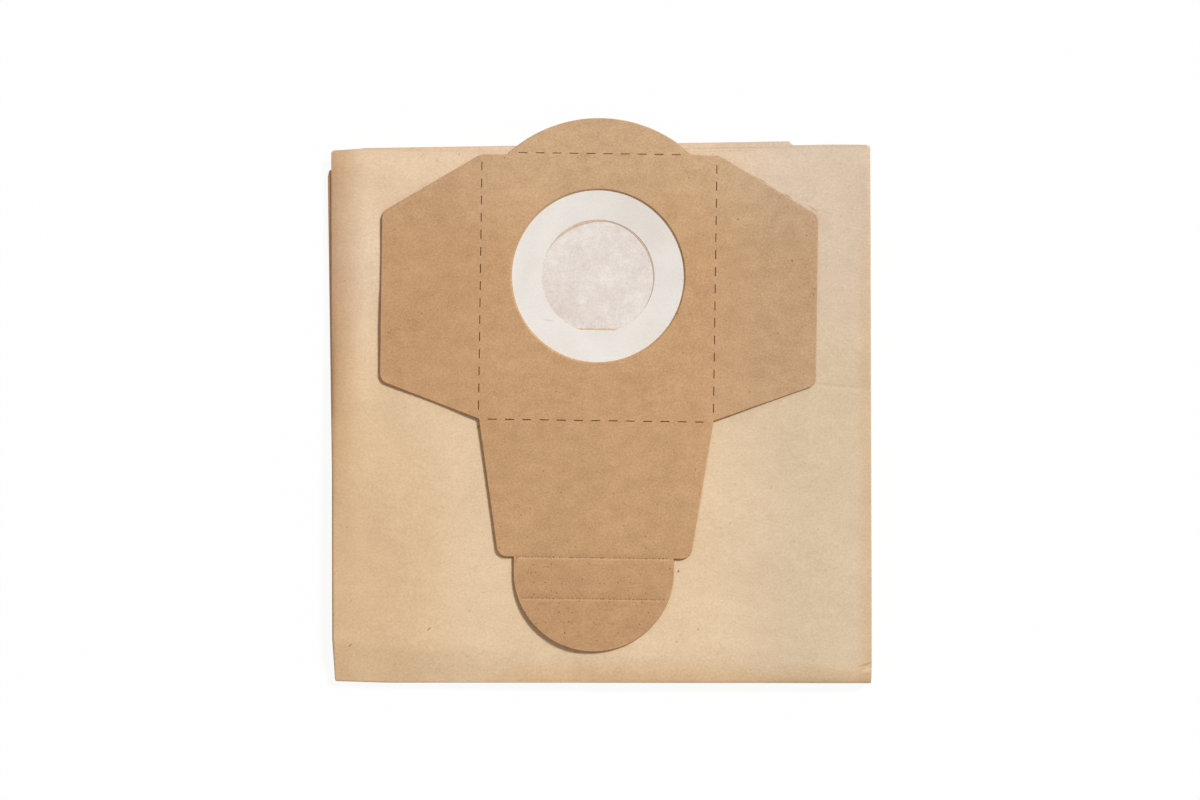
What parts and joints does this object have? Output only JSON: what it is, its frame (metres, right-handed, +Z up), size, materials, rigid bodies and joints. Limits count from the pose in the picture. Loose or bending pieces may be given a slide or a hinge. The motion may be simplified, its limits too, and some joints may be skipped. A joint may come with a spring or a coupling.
{
  "type": "vacuum dust bag",
  "caption": "Paper vacuum cleaner dust bag, folded flat, with a die-cut card collar and a rubber inlet seal.",
  "frame": {"origin": "centre of the footprint, on the surface that the folded bag lies on", "axes": "+Z up out of the collar's face, +Y along the bag towards the collar's round tab, +X across the bag"},
  "size_m": [0.252, 0.2608, 0.0113],
  "materials": {
    "kraft_paper": "matt",
    "filter_tissue": "matt",
    "seal_rubber": "matt",
    "kraft_board": "matt"
  },
  "bodies": {
    "root": {"filter_bag": "kraft_paper", "inner_ply": "filter_tissue", "inlet_seal": "seal_rubber", "card_collar": "kraft_board"}
  },
  "joints": []
}
